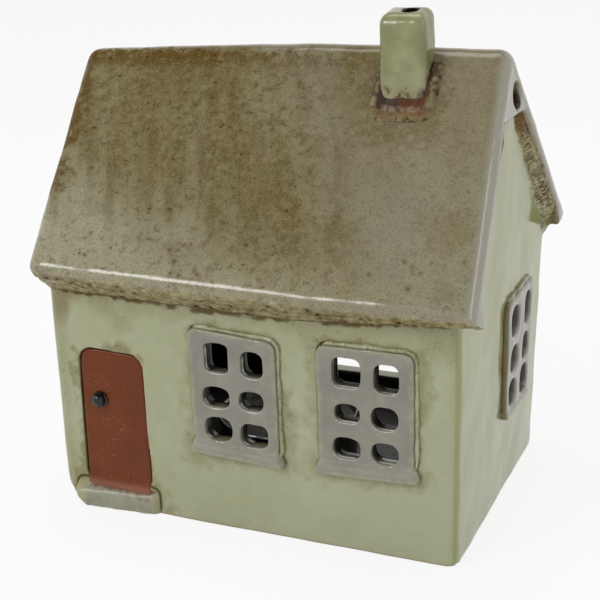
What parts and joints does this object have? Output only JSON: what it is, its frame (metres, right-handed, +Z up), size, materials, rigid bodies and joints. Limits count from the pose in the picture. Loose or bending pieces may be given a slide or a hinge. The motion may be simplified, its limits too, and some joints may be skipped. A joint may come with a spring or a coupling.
{
  "type": "tealight house",
  "caption": "Glazed stoneware cottage that holds a tealight: slab walls with pierced windows, pitched roof with chimney and vents, and an arched opening at the back.",
  "frame": {"origin": "middle of the base, on the surface the house stands on", "axes": "+Z up, the front with the door and two windows faces -Y, the ridge runs along X"},
  "size_m": [0.1208, 0.091, 0.1278],
  "materials": {
    "wall_glaze": "glossy pale celadon glaze over stoneware",
    "roof_glaze": "glossy mottled olive brown glaze",
    "window_glaze": "glossy lilac grey glaze",
    "door_glaze": "satin iron red glaze",
    "knob_glaze": "glossy black glaze",
    "cup_metal": "thin drawn aluminium",
    "candle_wax": "white paraffin wax",
    "wick_cotton": "waxed cotton",
    "sustainer_steel": "tinned steel"
  },
  "bodies": {
    "house": {"floor_slab": "wall_glaze", "front_wall": "wall_glaze", "back_wall": "wall_glaze", "left_gable_wall": "wall_glaze", "right_gable_wall": "wall_glaze", "left_gable_vent_web": "roof_glaze", "right_gable_vent_web": "roof_glaze", "roof_front_slope": "roof_glaze", "roof_back_slope": "roof_glaze", "chimney": "wall_glaze", "chimney_collar": "roof_glaze", "door": "door_glaze", "door_knob": "knob_glaze", "door_step": "window_glaze", "front_left_window": "window_glaze", "front_left_sill": "window_glaze", "front_right_window": "window_glaze", "front_right_sill": "window_glaze", "right_gable_window": "window_glaze", "right_gable_sill": "window_glaze", "left_gable_window": "window_glaze", "left_gable_sill": "window_glaze"},
    "tealight": {"tealight_cup": "cup_metal", "tealight_wax": "candle_wax", "tealight_wick": "wick_cotton", "wick_sustainer": "sustainer_steel"}
  },
  "joints": [
    {"name": "tealight_lift_out", "type": "slide", "parent": "house", "child": "tealight", "axis": [0, 0.9397, 0.342], "range_m": [0, 0.095]}
  ]
}
